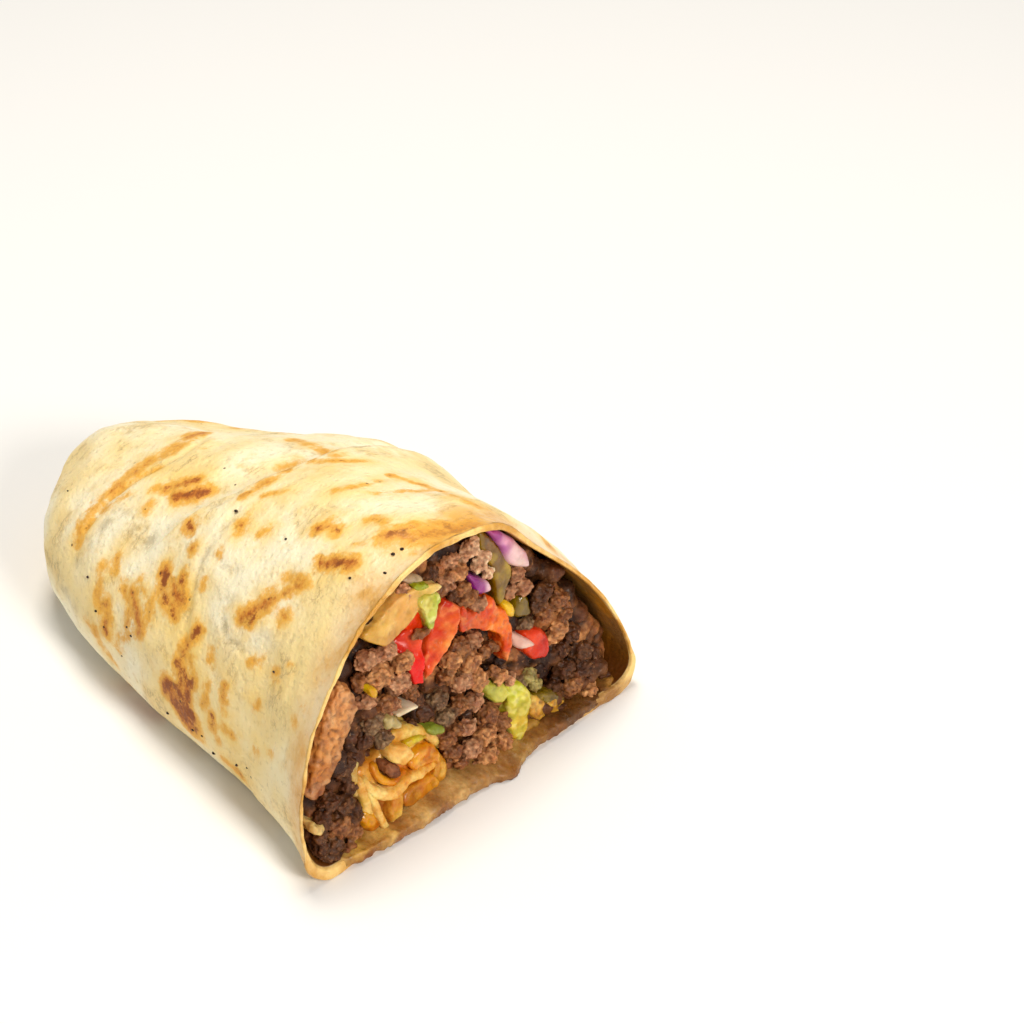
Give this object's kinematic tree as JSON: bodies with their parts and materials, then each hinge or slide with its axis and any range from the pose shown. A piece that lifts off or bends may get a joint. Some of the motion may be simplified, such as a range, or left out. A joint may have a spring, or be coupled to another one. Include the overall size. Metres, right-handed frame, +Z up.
{
  "type": "sloppy joe wrap",
  "caption": "Half of a toasted flour tortilla wrap, closed at one end and cut across at the other, filled with minced beef, tomato, red onion, pickle, lettuce and cheese sauce.",
  "frame": {"origin": "bottom centre of the half's bounding box, on the surface it rests on", "axes": "+X along the wrap from its closed end to the cut, +Y to the left seen from the closed end, +Z up"},
  "size_m": [0.1094, 0.0814, 0.0538],
  "materials": {
    "tortilla": "matt, toasted in patches",
    "ground_beef": "crumbly and moist",
    "meat_slab": "moist",
    "cheese": "glossy with sauce",
    "lettuce": "moist leaf",
    "pale_leaf": "moist leaf",
    "pickle": "wet and slightly clear",
    "red_onion": "wet, purple at the skin side",
    "tomato": "wet and glossy"
  },
  "bodies": {
    "root": {"tortilla": "tortilla", "ground_beef": "ground_beef", "meat_slab": "meat_slab", "cheese_fold": "cheese", "cheese_bit": "cheese", "lettuce_leaf": "lettuce", "lettuce_shred": "lettuce", "leaf_slab": "pale_leaf", "pickle_strip": "pickle", "pickle_chip": "pickle", "red_onion_piece": "red_onion", "red_onion_bit": "red_onion", "onion_sliver": "red_onion", "onion_strip": "red_onion", "tomato_slice": "tomato", "tomato_wedge": "tomato", "tomato_dice": "tomato", "tomato_scrap": "tomato", "tomato_bit": "tomato"}
  },
  "joints": []
}
